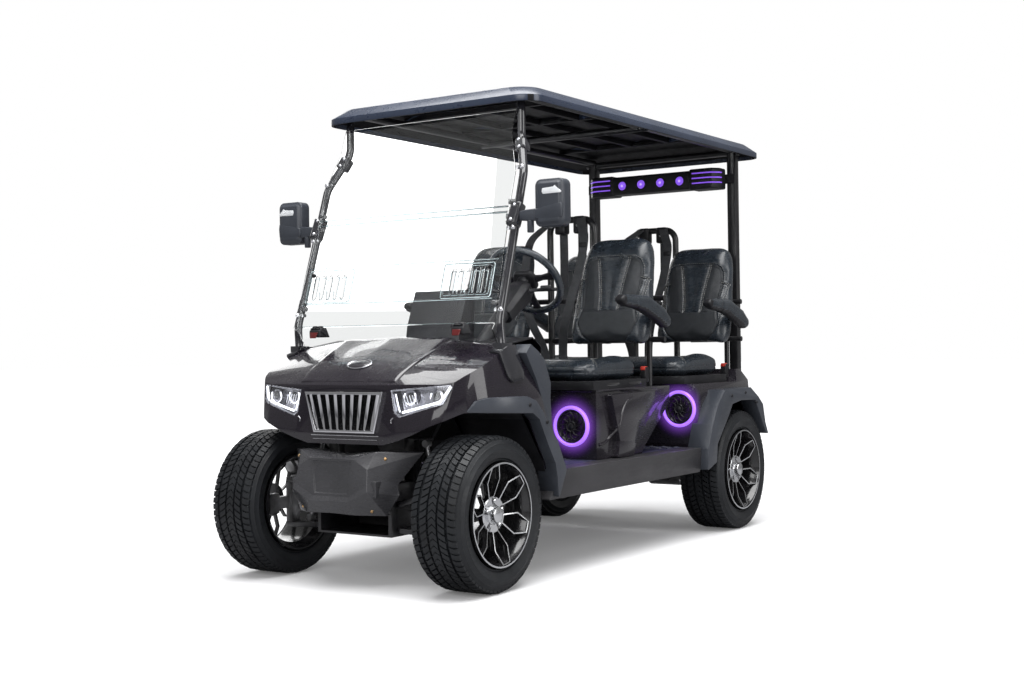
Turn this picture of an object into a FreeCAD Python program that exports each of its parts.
import FreeCAD
import Part
import math
import os

# Lengths are in millimetres. X runs to the vehicle's left, Y to its rear and Z up from the ground.
# The origin is on the ground under the middle of the vehicle.

# Overall sizes
overall_length = 2882.0
wheelbase = 2090.0
tyre_radius = 292.0
front_axle_y = tyre_radius - overall_length / 2
rear_axle_y = front_axle_y + wheelbase
seat_gap = 0.3  # running gap between pieces that sit on each other
overrun = 20.0  # how far a cutting tool passes the stock

# Wheels and tyres
tyre_width = 225.0
tyre_bead_radius = 180.0
tyre_sidewall_bulge = 6.0
tread_half_width = 92.0
tread_shoulder = 16.0
rim_flange_radius = 195.0
rim_wall = 9.0
rim_lip = 8.0
rim_face_inset = 4.0
rim_face_thick = 14.0
rim_dish = 48.0
loop_count = 6
loop_bar = 11.0
lug_count = 5
lug_circle_radius = 50.0
lug_hole_radius = 8.0
hub_radius = 68.0
hub_cap_radius = 30.0
hub_cap_height = 17.0
hub_bore = 18.0
front_wheel_outer_x = 611.0
rear_wheel_outer_x = 636.0
disc_radius = 118.0
disc_thick = 8.0
disc_inset = 150.0
drum_radius = 112.0
drum_depth = 55.0

# Knuckles and steering
kingpin_x = 430.0
kingpin_pin_radius = 8.0
knuckle_low_z = 212.0
knuckle_high_z = 372.0
knuckle_half_width = 24.0
knuckle_thick = 30.0
steer_arm_reach = 110.0
steer_arm_z = 262.0
steer_arm_thick = 12.0
tie_rod_radius = 9.0
tie_rod_gap = 1.0
rack_radius = 22.0
rack_half_length = 165.0
caliper_depth = 34.0
caliper_height = 80.0
caliper_gap = 5.0

# Frame
rail_x = 190.0
rail_width = 50.0
rail_low_z = 335.0
rail_height = 68.0
rail_wall = 4.0
rail_front_reach = 175.0
rail_rear_reach = 345.0
cross_width = 60.0
outrigger_front_reach = 545.0
floor_thick = 14.0
floor_half_width = 500.0
toe_board_reach = 452.0
rocker_end_reach = 395.0

# Front suspension
arm_inner_x = 185.0
arm_pivot_spread = 105.0
arm_tip_half = 22.0
arm_flat_half = 32.0  # level run of an arm beside the kingpin
arm_bar = 24.0
arm_thick = 18.0
subframe_half_y = 125.0
subframe_low_z = 196.0
tower_top_z = 560.0
rear_tower_top_z = 452.0
tower_width = 40.0
damper_radius = 27.0
damper_rod_radius = 9.0
front_damper_low_x = 330.0
front_damper_top_x = 262.0
rear_damper_x = 300.0
damper_eye_radius = 14.0

# Rear axle, springs, motor and battery
axle_tube_radius = 30.0
axle_half_length = 348.0
backplate_thick = 7.0
case_radius = 92.0
motor_radius = 75.0
motor_length = 185.0
motor_offset_y = 150.0
motor_clearance = 3.0
spring_x = 268.0
spring_half_length = 330.0
spring_arch = 34.0
spring_width = 55.0
leaf_thick = 8.0
leaf_count = 3
battery_length = 330.0
battery_half_width = 400.0
battery_height = 255.0

# Cowl
cowl_nose_reach = 172.0
cowl_length = 640.0
cowl_half_width = 575.0
cowl_height = 965.0
cowl_low_z = 432.0
cowl_wall = 4.0

# Wheel arches, measured from the axle
arch_radius = 390.0
flare_outer_x = 625.0
flare_inner_x = 480.0
rear_flare_outer_x = 640.0
rear_flare_inner_x = 530.0
liner_wall = 3.0
liner_inner_x = 238.0
rear_liner_inner_x = 372.0

# Grille and lamps
grille_top_z = 749.0
grille_low_z = 592.0
grille_top_half = 194.0
grille_low_half = 151.0
grille_frame = 11.0
grille_depth = 26.0
grille_bar_count = 9
grille_bar_top = 17.0
grille_bar_low = 8.0
lamp_depth = 62.0
lamp_wall = 6.0
lens_thick = 3.0
projector_radius = 27.0
projector_depth = 34.0
projector_z = 728.0

# Bumper
bumper_reach = 262.0
bumper_back_reach = 95.0
bumper_low_z = 285.0
bumper_top_z = 515.0
bumper_half_width = 318.0
bumper_wall = 5.0
bumper_lip = 16.0
bumper_recess = 9.0

# Sills
sill_outer_x = 600.0
sill_inner_x = 502.0
sill_low_z = 312.0
sill_top_z = 424.0
sill_wall = 4.0

# Dashboard, column, pedals
dash_half_width = 505.0
dash_depth = 245.0
dash_top_z = 950.0
dash_wall = 6.0
binnacle_centre_x = 65.0
binnacle_half_width = 135.0
binnacle_top_z = 1147.0
binnacle_depth = 70.0
steering_x = 300.0
steering_reach = 650.0
steering_z = 1190.0
steering_tilt_deg = 39.0
steering_wheel_radius = 175.0
steering_rim_radius = 14.0
steering_hub_radius = 52.0
steering_hub_depth = 36.0
column_radius = 30.0
column_length = 450.0
column_shaft_radius = 9.0
shroud_width = 118.0
shroud_height = 96.0
shroud_length = 190.0
pedal_width = 62.0
pedal_height = 78.0
pedal_thick = 12.0
pedal_arm = 10.0
pedal_stand_off = 62.0

# Windscreen and posts
post_radius = 17.0
post_base_x = 517.0
post_base_reach = 146.0
post_base_z = cowl_height - 48.0
post_bow_x = 514.0
post_bow_reach = 137.0
post_bow_z = cowl_height + 42.0
post_knee_x = 507.0
post_knee_reach = 330.0
post_knee_z = 1600.0
post_top_x = 445.0
post_top_reach = 412.0
post_bend_z = 1755.0
post_bend_radius = 120.0
boot_thick = 9.0
glass_slope = 0.322
glass_low_z = cowl_height - 41.0
glass_fold_z = cowl_height + 39.0
glass_split_z = 1440.0
glass_top_z = 1858.0
glass_fold_reach = 104.0
glass_low_reach = 150.0
glass_thick = 5.0
glass_half_width = 490.0
glass_fold_half = 512.0
glass_top_half = 442.0
vent_inner_x = 232.0
vent_outer_x = 470.0
vent_rise = 96.0  # from the fold of the glass
vent_height = 150.0
vent_slots = 5
vent_slot_width = 21.0
clip_x = 360.0
clip_width = 62.0
clip_height = 40.0
clip_depth = 28.0
bracket_height = 78.0

# Mirrors
mirror_inner_x = 580.0
mirror_outer_x = 732.0
mirror_low_z = 1370.0
mirror_top_z = 1555.0
mirror_reach = 285.0
mirror_depth = 66.0
mirror_arm_radius = 10.0

# Roof and rear posts
roof_front_reach = 340.0
roof_rear_y = overall_length / 2
roof_half_width = 540.0
roof_lip_z = 1885.0
roof_top_z = 1978.0
roof_corner = 90.0
roof_wall = 6.0
roof_rib_height = 23.0
roof_rib_width = 26.0
roof_rail_radius = 17.0
rear_post_x = 420.0
rear_post_reach = 390.0
rear_post_size = 45.0
sound_bar_half = 376.0
sound_bar_low_z = 1702.0
sound_bar_high_z = 1818.0
sound_bar_depth = 72.0
sound_bar_chamfer = 45.0

# Seats
seat_pitch = 858.0  # from the front row to the rear row
pod_front_reach = 880.0
pod_depth = 440.0
pod_half_width = 500.0
pod_wall = 5.0
pod_top_z = 722.0
pan_thick = 38.0
pan_half_width = 505.0
hinge_x = 260.0
hinge_width = 40.0
hinge_radius = 7.0
hinge_pin_radius = 4.0
hinge_set_back = 15.0
cushion_front_reach = 832.0
cushion_depth = 492.0
cushion_half_width = 510.0
cushion_thick = 100.0
cushion_corner = 60.0
back_centre_x = 322.0
back_half_width = 228.0
back_low_z = 922.0
back_top_z = 1400.0
back_low_reach = 1262.0
back_top_reach = 1392.0
back_thick = 118.0
back_corner = 85.0
hoop_set_back = 140.0
hoop_reach = back_top_reach + hoop_set_back
hoop_half_width = 125.0
hoop_top_z = 1540.0
hoop_radius = 16.0
hoop_bend = 60.0
back_bar_z = 1130.0
armrest_width = 47.0
armrest_length = 464.0
armrest_front_reach = back_low_reach - 312.0
armrest_front_z = back_low_z + 215.0
armrest_fall = 103.0
belt_width = 48.0
belt_thick = 3.0
belt_x = 52.0
buckle_width = 30.0
buckle_depth = 18.0
buckle_height = 90.0

# Rear body
tail_reach = 372.0
tail_top_z = 784.0
tail_half_width = 556.0
tail_wall = 5.0
tub_floor_z = 470.0
tub_margin = 135.0
tail_lamp_width = 120.0
tail_lamp_height = 62.0
tail_lamp_thick = 14.0
rear_bar_half = 430.0
rear_bar_height = 70.0
rear_bar_depth = 60.0
hitch_width = 90.0
hitch_reach = 60.0
hitch_thick = 10.0
hitch_bore_radius = 8.25
rack_hole_radius = 5.5
rack_hole_x = 300.0
rack_hole_rise = 36.0

# Speakers
speaker_ring_radius = 90.0
speaker_ring_width = 10.0
speaker_cone_radius = 68.0
speaker_depth = 10.0
front_speaker_x = 378.0
front_speaker_z = 566.0
rear_speaker_x = 462.0
rear_speaker_z = 604.0


# Geometry helpers

def point(x, y, z):
    return FreeCAD.Vector(x, y, z)


def box(x0, x1, y0, y1, z0, z1):
    return Part.makeBox(x1 - x0, y1 - y0, z1 - z0, point(x0, y0, z0))


def placed(axis, level, u, v):
    if axis == "x":
        return point(level, u, v)
    if axis == "y":
        return point(u, level, v)
    return point(u, v, level)


def direction(axis, length):
    return {"x": point(length, 0, 0), "y": point(0, length, 0), "z": point(0, 0, length)}[axis]


def outline(corners, axis, level, radius=0):
    # A closed wire through flat corners, each one rounded as far as its two sides allow.
    count = len(corners)
    starts = []
    ends = []
    mids = []
    for index in range(count):
        here = FreeCAD.Vector(corners[index][0], corners[index][1], 0)
        before = FreeCAD.Vector(corners[index - 1][0], corners[index - 1][1], 0) - here
        after = FreeCAD.Vector(corners[(index + 1) % count][0], corners[(index + 1) % count][1], 0) - here
        room = min(before.Length, after.Length) / 2.1
        before.normalize()
        after.normalize()
        half = before.getAngle(after) / 2
        flat = abs(half - math.pi / 2) < 0.01
        if radius == 0 or flat:
            starts.append(here)
            ends.append(here)
            mids.append(None)
            continue
        back_off = min(radius / math.tan(half), room)
        real_radius = back_off * math.tan(half)
        bisector = before + after
        bisector.normalize()
        centre = here + bisector * (real_radius / math.sin(half))
        starts.append(here + before * back_off)
        ends.append(here + after * back_off)
        mids.append(centre - bisector * real_radius)
    edges = []
    for index in range(count):
        if mids[index] is not None:
            ring = [starts[index], mids[index], ends[index]]
            ring = [placed(axis, level, spot.x, spot.y) for spot in ring]
            edges.append(Part.Arc(*ring).toShape())
        first = ends[index]
        last = starts[(index + 1) % count]
        if (last - first).Length > 1e-6:
            line = [placed(axis, level, spot.x, spot.y) for spot in (first, last)]
            edges.append(Part.LineSegment(*line).toShape())
    return Part.Wire(edges)


def prism(corners, axis, start, end, radius=0):
    # A plate of the outline between two levels: X takes (y, z), Y takes (x, z) and Z takes (x, y).
    face = Part.Face(outline(corners, axis, start, radius))
    return face.extrude(direction(axis, end - start))


def cylinder(axis, centre, radius, start, end):
    # A round bar along one axis, whose centre gives the two other coordinates.
    base = placed(axis, start, centre[0], centre[1])
    return Part.makeCylinder(radius, end - start, base, direction(axis, 1))


def rod(first, last, radius):
    run = last - first
    return Part.makeCylinder(radius, run.Length, first, run)


def bent_tube(corners, radius, bend):
    # A round bar through corner points, with a tangent arc at each inner corner.
    edges = []
    here = corners[0]
    for index in range(1, len(corners) - 1):
        before = corners[index - 1] - corners[index]
        after = corners[index + 1] - corners[index]
        room = min(before.Length, after.Length) / 2.1
        before.normalize()
        after.normalize()
        half = before.getAngle(after) / 2
        back_off = min(bend / math.tan(half), room)
        real_bend = back_off * math.tan(half)
        bisector = before + after
        bisector.normalize()
        centre = corners[index] + bisector * (real_bend / math.sin(half))
        start = corners[index] + before * back_off
        end = corners[index] + after * back_off
        edges.append(Part.LineSegment(here, start).toShape())
        edges.append(Part.Arc(start, centre - bisector * real_bend, end).toShape())
        here = end
    edges.append(Part.LineSegment(here, corners[-1]).toShape())
    path = Part.Wire(edges)
    heading = corners[1] - corners[0]
    section = Part.Wire([Part.Circle(corners[0], heading, radius).toShape()])
    return path.makePipeShell([section], True, True)


def mirrored(shape):
    return shape.mirror(point(0, 0, 0), point(1, 0, 0))


def pair(shape):
    return [shape, mirrored(shape)]


def symmetric(corners):
    # A closed outline from its left half, which starts and ends on the middle line.
    half = list(corners)
    other = [(-u, v) for u, v in reversed(half) if abs(u) > 1e-9]
    return half + other


def fused(shapes):
    whole = shapes[0].multiFuse(shapes[1:]) if len(shapes) > 1 else shapes[0]
    return whole.removeSplitter()


def ring_line(shares, size, centre_y, centre_z, grow=0):
    # Points around an axle, given as shares of a size, moved outwards by the grow length.
    points = []
    for across, up in shares:
        reach = math.hypot(across, up)
        factor = size + grow / reach
        points.append((centre_y + across * factor, centre_z + up * factor))
    return points


def save(name, *shapes):
    solids = [solid for shape in shapes for solid in shape.Solids]
    whole = solids[0] if len(solids) == 1 else Part.makeCompound(solids)
    whole.exportStep("parts/" + name + ".step")


# Wheels

def revolved(profile, axle_y):
    # Profile points are (x, radius) about the axle line.
    spots = [point(x, axle_y, tyre_radius + reach) for x, reach in profile]
    face = Part.Face(Part.makePolygon(spots + [spots[0]]))
    return face.revolve(point(0, axle_y, tyre_radius), point(1, 0, 0), 360)


def tyre(outer_x, axle_y):
    middle = outer_x - tyre_width / 2
    half = tyre_width / 2
    bead_half = half - rim_lip
    shoulder = tyre_radius - tread_shoulder
    waist = (tyre_radius + rim_flange_radius) / 2
    right = [(bead_half, tyre_bead_radius), (bead_half, rim_flange_radius + rim_lip / 2),
             (half, waist), (half - tyre_sidewall_bulge, shoulder), (tread_half_width, tyre_radius)]
    left = [(-across, reach) for across, reach in reversed(right)]
    return revolved([(middle + across, reach) for across, reach in right + left], axle_y)


loop_corner_shares = ((0.96, -8.0), (0.96, 8.0), (0.65, 20.6), (0.31, 13.0), (0.31, -13.0), (0.65, -20.6))


def loop_corners():
    # One six-sided loop of the wheel face that points up from the hub.
    corners = []
    for reach_share, turn_deg in loop_corner_shares:
        turn = math.radians(turn_deg)
        reach = reach_share * rim_flange_radius
        corners.append((reach * math.sin(turn), reach * math.cos(turn)))
    return corners


def inset_corners(corners, depth):
    # The outline moved inwards by one depth along all its sides.
    middle = FreeCAD.Vector(sum(u for u, v in corners) / len(corners), sum(v for u, v in corners) / len(corners), 0)
    sides = []
    for index in range(len(corners)):
        start = FreeCAD.Vector(corners[index - 1][0], corners[index - 1][1], 0)
        run = FreeCAD.Vector(corners[index][0], corners[index][1], 0) - start
        run.normalize()
        inward = FreeCAD.Vector(-run.y, run.x, 0)
        if inward.dot(middle - start) < 0:
            inward = inward * -1
        sides.append((start + inward * depth, run))
    moved = []
    for index in range(len(sides)):
        base, run = sides[index]
        other, way = sides[(index + 1) % len(sides)]
        along = ((other.x - base.x) * way.y - (other.y - base.y) * way.x) / (run.x * way.y - run.y * way.x)
        moved.append((base.x + run.x * along, base.y + run.y * along))
    return moved


def turned(corners, turn, axle_y):
    found = []
    for across, up in corners:
        found.append((axle_y + across * math.cos(turn) + up * math.sin(turn),
                      tyre_radius + up * math.cos(turn) - across * math.sin(turn)))
    return found


def rim(outer_x, axle_y, inner_fitting):
    barrel_outer = tyre_bead_radius - seat_gap
    inner_x = outer_x - tyre_width + rim_lip
    barrel = [(inner_x, barrel_outer - rim_wall), (outer_x - rim_wall, barrel_outer - rim_wall),
              (outer_x - rim_wall, rim_flange_radius - rim_wall), (outer_x, rim_flange_radius - rim_wall),
              (outer_x, rim_flange_radius), (outer_x - rim_lip + seat_gap, rim_flange_radius),
              (outer_x - rim_lip + seat_gap, barrel_outer), (inner_x - seat_gap, barrel_outer),
              (inner_x - seat_gap, rim_flange_radius), (inner_x - rim_lip, rim_flange_radius),
              (inner_x - rim_lip, barrel_outer - rim_wall)]
    face_x = outer_x - rim_face_inset
    dish_x = face_x - rim_dish
    edge = barrel_outer - rim_wall / 2
    slab = revolved([(dish_x, hub_bore), (dish_x, hub_radius), (face_x, edge), (face_x - rim_face_thick, edge),
                     (dish_x - rim_face_thick, hub_radius), (dish_x - rim_face_thick, hub_bore)], axle_y)
    start = dish_x - rim_face_thick - overrun
    pattern = [cylinder("x", (axle_y, tyre_radius), hub_radius, start, outer_x)]
    outer = loop_corners()
    inner = inset_corners(outer, loop_bar)
    for index in range(loop_count):
        turn = 2 * math.pi * index / loop_count
        ring = prism(turned(outer, turn, axle_y), "x", start, outer_x)
        pattern.append(ring.cut(prism(turned(inner, turn, axle_y), "x", start - overrun, outer_x + overrun)))
    face = slab.common(fused(pattern))
    holes = []
    for index in range(lug_count):
        turn = 2 * math.pi * index / lug_count
        spot = (axle_y + lug_circle_radius * math.sin(turn), tyre_radius + lug_circle_radius * math.cos(turn))
        holes.append(cylinder("x", spot, lug_hole_radius, dish_x - rim_face_thick / 2, outer_x))
    face = face.cut(Part.makeCompound(holes))
    cap = cylinder("x", (axle_y, tyre_radius), hub_cap_radius, dish_x, dish_x + hub_cap_height)
    return fused([revolved(barrel, axle_y), face, cap, inner_fitting])


def front_hub(outer_x, axle_y):
    dish_x = outer_x - rim_face_inset - rim_dish - rim_face_thick
    disc_x = outer_x - disc_inset
    return revolved([(dish_x, hub_bore), (dish_x, hub_radius * 0.6), (disc_x + disc_thick, hub_radius * 0.6),
                     (disc_x + disc_thick, disc_radius), (disc_x, disc_radius), (disc_x, hub_bore)], axle_y)


def rear_hub(outer_x, axle_y):
    dish_x = outer_x - rim_face_inset - rim_dish - rim_face_thick
    drum_x = axle_half_length + caliper_gap
    return revolved([(dish_x, hub_bore), (dish_x, hub_radius), (drum_x + drum_depth, hub_radius),
                     (drum_x + drum_depth, drum_radius), (drum_x, drum_radius), (drum_x, hub_bore)], axle_y)


def wheels():
    for outer_x, axle_y, place, hub in ((front_wheel_outer_x, front_axle_y, "front", front_hub),
                                        (rear_wheel_outer_x, rear_axle_y, "rear", rear_hub)):
        rubber = tyre(outer_x, axle_y)
        metal = rim(outer_x, axle_y, hub(outer_x, axle_y))
        save("tyre_" + place + "_left", rubber)
        save("rim_" + place + "_left", metal)
        save("tyre_" + place + "_right", mirrored(rubber))
        save("rim_" + place + "_right", mirrored(metal))


# Knuckles, tie rods and front suspension

def knuckle():
    half = knuckle_half_width
    upright = box(kingpin_x - knuckle_thick / 2, kingpin_x + knuckle_thick / 2, front_axle_y - half,
                  front_axle_y + half, knuckle_low_z, knuckle_high_z)
    dish_x = front_wheel_outer_x - rim_face_inset - rim_dish
    spindle = cylinder("x", (front_axle_y, tyre_radius), hub_bore - seat_gap, kingpin_x, dish_x - seat_gap)
    pins = cylinder("z", (kingpin_x, front_axle_y), kingpin_pin_radius, knuckle_low_z - arm_thick * 0.8,
                    knuckle_high_z + arm_thick * 0.8)
    arm = prism([(kingpin_x - knuckle_thick / 2, front_axle_y), (kingpin_x + knuckle_thick / 2, front_axle_y),
                 (kingpin_x + tie_rod_radius, front_axle_y + steer_arm_reach + tie_rod_radius),
                 (kingpin_x - tie_rod_radius * 2, front_axle_y + steer_arm_reach + tie_rod_radius)],
                "z", steer_arm_z - steer_arm_thick, steer_arm_z, tie_rod_radius)
    disc_x = front_wheel_outer_x - disc_inset
    low = tyre_radius - caliper_height / 2
    high = tyre_radius + caliper_height / 2
    outer_y = front_axle_y - disc_radius - caliper_depth / 2
    inner_y = front_axle_y - disc_radius + caliper_depth
    caliper = box(disc_x - caliper_depth, disc_x + disc_thick + caliper_depth, outer_y, inner_y, low, high)
    slot = box(disc_x - caliper_gap, disc_x + disc_thick + caliper_gap,
               front_axle_y - disc_radius - caliper_gap, inner_y + overrun, low - overrun, high + overrun)
    bracket = box(disc_x - caliper_depth, disc_x - caliper_gap, inner_y - caliper_depth, front_axle_y,
                  tyre_radius - half, tyre_radius + half)
    return fused([upright, spindle, pins, arm, caliper.cut(slot), bracket])


def wishbone(z_outer, z_inner, has_seat):
    tip_y = arm_tip_half
    root_y = arm_pivot_spread
    outer = [(kingpin_x + arm_tip_half, front_axle_y - tip_y), (kingpin_x + arm_tip_half, front_axle_y + tip_y),
             (arm_inner_x, front_axle_y + root_y), (arm_inner_x, front_axle_y - root_y)]
    window = [(kingpin_x - arm_tip_half * 2.2, front_axle_y), (arm_inner_x + arm_bar, front_axle_y + root_y
              - arm_bar), (arm_inner_x + arm_bar, front_axle_y - root_y + arm_bar)]
    low = min(z_outer, z_inner)
    high = max(z_outer, z_inner)
    plan = prism(outer, "z", low - overrun, high + arm_thick + overrun, arm_tip_half * 0.8)
    plan = plan.cut(prism(window, "z", low - overrun * 2, high + arm_thick + overrun * 2, arm_bar / 3))
    flat_x = kingpin_x - arm_flat_half
    side = [(kingpin_x + arm_tip_half * 2, z_outer), (flat_x, z_outer), (arm_inner_x - overrun, z_inner),
            (arm_inner_x - overrun, z_inner + arm_thick), (flat_x, z_outer + arm_thick),
            (kingpin_x + arm_tip_half * 2, z_outer + arm_thick)]
    slab = prism(side, "y", front_axle_y - root_y * 2, front_axle_y + root_y * 2)
    seat = box(front_damper_low_x - arm_bar / 2, front_damper_low_x + arm_bar / 2, front_axle_y - root_y / 2,
               front_axle_y + root_y / 2, low - overrun, high + arm_thick + overrun)
    if has_seat:
        plan = fused([plan, seat])
    socket = cylinder("z", (kingpin_x, front_axle_y), kingpin_pin_radius + seat_gap, z_outer - overrun,
                      z_outer + arm_thick + overrun)
    return plan.common(slab).cut(socket)


def front_suspension():
    low_arm = wishbone(knuckle_low_z - seat_gap - arm_thick, subframe_low_z + arm_thick, True)
    high_arm = wishbone(knuckle_high_z + seat_gap, rail_low_z - arm_thick * 2, False)
    half = subframe_half_y
    deck = box(-arm_inner_x, arm_inner_x, front_axle_y - half, front_axle_y + half, subframe_low_z,
               rail_low_z - seat_gap)
    inside = box(-arm_inner_x + rail_wall * 4, arm_inner_x - rail_wall * 4, front_axle_y - half - overrun,
                 front_axle_y + half - rail_wall * 4, subframe_low_z + rail_wall * 2,
                 rail_low_z - rail_wall * 2)
    rack_y = front_axle_y + steer_arm_reach
    rack_z = steer_arm_z + tie_rod_gap + tie_rod_radius
    housing = cylinder("x", (rack_y, rack_z), rack_radius, -rack_half_length, rack_half_length)
    bore = cylinder("x", (rack_y, rack_z), tie_rod_radius + seat_gap, -arm_inner_x - overrun,
                    arm_inner_x + overrun)
    body = fused([deck.cut(inside), housing] + pair(low_arm) + pair(high_arm))
    return body.cut(bore)


def tie_rods():
    rack_y = front_axle_y + steer_arm_reach
    rack_z = steer_arm_z + tie_rod_gap + tie_rod_radius
    bar = cylinder("x", (rack_y, rack_z), tie_rod_radius, -kingpin_x, kingpin_x)
    eyes = [cylinder("z", (side * kingpin_x, rack_y), tie_rod_radius * 1.5, rack_z - tie_rod_radius,
                     rack_z + tie_rod_radius) for side in (-1, 1)]
    return fused([bar] + eyes)


def damper(low, high):
    run = high - low
    body = rod(low + run * 0.22, low + run * 0.8, damper_radius)
    shaft = rod(low, high, damper_rod_radius)
    eyes = [cylinder("y", (spot.x, spot.z), damper_eye_radius, spot.y - damper_eye_radius,
                     spot.y + damper_eye_radius) for spot in (low, high)]
    return fused([body, shaft] + eyes)


def dampers():
    flat_x = kingpin_x - arm_flat_half
    climb = (subframe_low_z + arm_thick * 2 - knuckle_low_z) / (flat_x - arm_inner_x + overrun)
    arm_top = knuckle_low_z + climb * (flat_x - front_damper_low_x)
    low = point(front_damper_low_x, front_axle_y, arm_top + damper_eye_radius + seat_gap * 4)
    high = point(front_damper_top_x, front_axle_y, tower_top_z - damper_eye_radius)
    rear_y = rear_axle_y - axle_tube_radius - damper_eye_radius - seat_gap
    rear_low = point(rear_damper_x, rear_y, tyre_radius)
    rear_high = point(rear_damper_x, rear_y, rear_tower_top_z - damper_eye_radius)
    return pair(damper(low, high)) + pair(damper(rear_low, rear_high))


# Frame

def rail_box(x0, x1, y0, y1):
    return box(x0, x1, y0, y1, rail_low_z, rail_low_z + rail_height)


def outrigger_places():
    first_y = front_axle_y + outrigger_front_reach
    last_y = rear_axle_y - arch_radius - cross_width
    return [first_y + share * (last_y - first_y) for share in (0, 0.5, 1)]


def ladder_frame():
    front_y = front_axle_y - rail_front_reach
    rear_y = rear_axle_y + rail_rear_reach
    half = rail_width / 2
    pieces = [rail_box(side * rail_x - half, side * rail_x + half, front_y, rear_y) for side in (-1, 1)]
    reach = sill_outer_x - sill_wall - seat_gap
    for y in outrigger_places():
        pieces.append(rail_box(-reach, reach, y - cross_width / 2, y + cross_width / 2))
    for y in (front_y + cross_width / 2, rear_y - cross_width / 2):
        pieces.append(rail_box(-rail_x, rail_x, y - cross_width / 2, y + cross_width / 2))
    top_z = rail_low_z + rail_height
    rear_y = rear_axle_y - axle_tube_radius - damper_eye_radius
    for y, x, tall in ((front_axle_y, front_damper_top_x, tower_top_z), (rear_y, rear_damper_x, rear_tower_top_z)):
        low_y = y - tower_width / 2
        high_y = y + tower_width / 2
        shelf_x = x + damper_eye_radius
        for side in (-1, 1):
            near = side * (rail_x - rail_width / 2)
            far = side * (rail_x + rail_width / 2)
            pieces.append(box(min(near, far), max(near, far), low_y, high_y, top_z - rail_wall, tall))
            pieces.append(box(min(near, side * shelf_x), max(near, side * shelf_x), low_y, high_y,
                              tall + seat_gap, tall + seat_gap + rail_wall * 2))
            pieces.append(box(min(near, far), max(near, far), low_y, high_y, tall, tall + rail_wall * 2))
    return fused(pieces)


def rear_axle():
    tube = cylinder("x", (rear_axle_y, tyre_radius), axle_tube_radius, -axle_half_length, axle_half_length)
    case = cylinder("x", (rear_axle_y, tyre_radius), case_radius * 0.82, -case_radius / 2, case_radius / 2)
    spindle = cylinder("x", (rear_axle_y, tyre_radius), hub_bore - seat_gap, -rear_wheel_outer_x + rim_face_inset
                       + rim_dish + seat_gap, rear_wheel_outer_x - rim_face_inset - rim_dish - seat_gap)
    plate = cylinder("x", (rear_axle_y, tyre_radius), drum_radius, axle_half_length - backplate_thick,
                     axle_half_length)
    link = box(-case_radius / 2, case_radius / 2, rear_axle_y, rear_axle_y + motor_offset_y,
               tyre_radius - case_radius * 0.8, tyre_radius + case_radius / 3)
    pads = [box(side * spring_x - spring_width / 2, side * spring_x + spring_width / 2, rear_axle_y
                - axle_tube_radius, rear_axle_y + axle_tube_radius, tyre_radius - axle_tube_radius
                - leaf_thick, tyre_radius) for side in (-1, 1)]
    return fused([tube, case, spindle, link] + pair(plate) + pads)


def drive_motor():
    spot = (rear_axle_y + motor_offset_y, rail_low_z - motor_clearance - motor_radius)
    start = case_radius / 2 + seat_gap
    return cylinder("x", spot, motor_radius, start, start + motor_length)


def leaf_spring():
    # Leaves of one arch, each shorter than the one above it, under the axle.
    top_z = tyre_radius - axle_tube_radius - leaf_thick - seat_gap
    leaves = []
    for index in range(leaf_count):
        reach = spring_half_length * (1 - index * 0.28)
        rise = spring_arch * (reach / spring_half_length) ** 2
        z = top_z - index * leaf_thick
        spots = [(rear_axle_y - reach, z + rise), (rear_axle_y, z), (rear_axle_y + reach, z + rise)]
        low = [point(spring_x - spring_width / 2, y, level - leaf_thick) for y, level in spots]
        high = [point(spring_x - spring_width / 2, y, level) for y, level in spots]
        edges = [Part.Arc(*low).toShape(), Part.LineSegment(low[2], high[2]).toShape(),
                 Part.Arc(high[2], high[1], high[0]).toShape(), Part.LineSegment(high[0], low[0]).toShape()]
        leaves.append(Part.Face(Part.Wire(edges)).extrude(point(spring_width, 0, 0)))
    end_z = top_z + spring_arch
    hangers = []
    for side in (-1, 1):
        y = rear_axle_y + side * (spring_half_length - leaf_thick)
        hangers.append(box(spring_x - spring_width / 2, spring_x - spring_width / 2 + leaf_thick,
                           y - leaf_thick * 2, y + leaf_thick * 2, end_z - leaf_thick * 2, rail_low_z))
        hangers.append(box(rail_x + rail_width / 2 + seat_gap, spring_x - spring_width / 2 + leaf_thick,
                           y - leaf_thick * 2, y + leaf_thick * 2, rail_low_z, rail_low_z + rail_height / 2))
    return fused(leaves + hangers)


def battery_pack():
    y = front_axle_y + pod_front_reach + pod_depth * 0.45
    z = sill_top_z + pod_wall + seat_gap
    return box(-battery_half_width, battery_half_width, y - battery_length / 2, y + battery_length / 2, z,
               z + battery_height)


# Floor and sills

def floor_pan():
    top = sill_top_z - seat_gap
    low = rail_low_z + rail_height + seat_gap
    y0 = front_axle_y + toe_board_reach - cross_width / 2
    y1 = rear_axle_y - arch_radius
    floor = box(-floor_half_width, floor_half_width, y0, y1, top - floor_thick, top)
    pads = [box(-floor_half_width, floor_half_width, y - cross_width / 2, y + cross_width / 2, low, top)
            for y in outrigger_places()]
    return fused([floor] + pads)


def sill():
    start = front_axle_y + rocker_end_reach
    end = rear_axle_y - arch_radius - seat_gap
    height = sill_top_z - sill_low_z
    side = [(start - height * 0.55, sill_low_z), (end - height * 0.3, sill_low_z), (end, sill_low_z + height
            * 0.35), (end, sill_top_z), (start + height * 0.45, sill_top_z)]
    outer = prism(side, "x", sill_inner_x, sill_outer_x, sill_wall)
    hollow = box(sill_inner_x - overrun, sill_outer_x - sill_wall, start + height * 0.9, end - sill_wall * 2,
                 sill_low_z - overrun, sill_top_z - sill_wall)
    return outer.cut(hollow)


# Cowl

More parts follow.
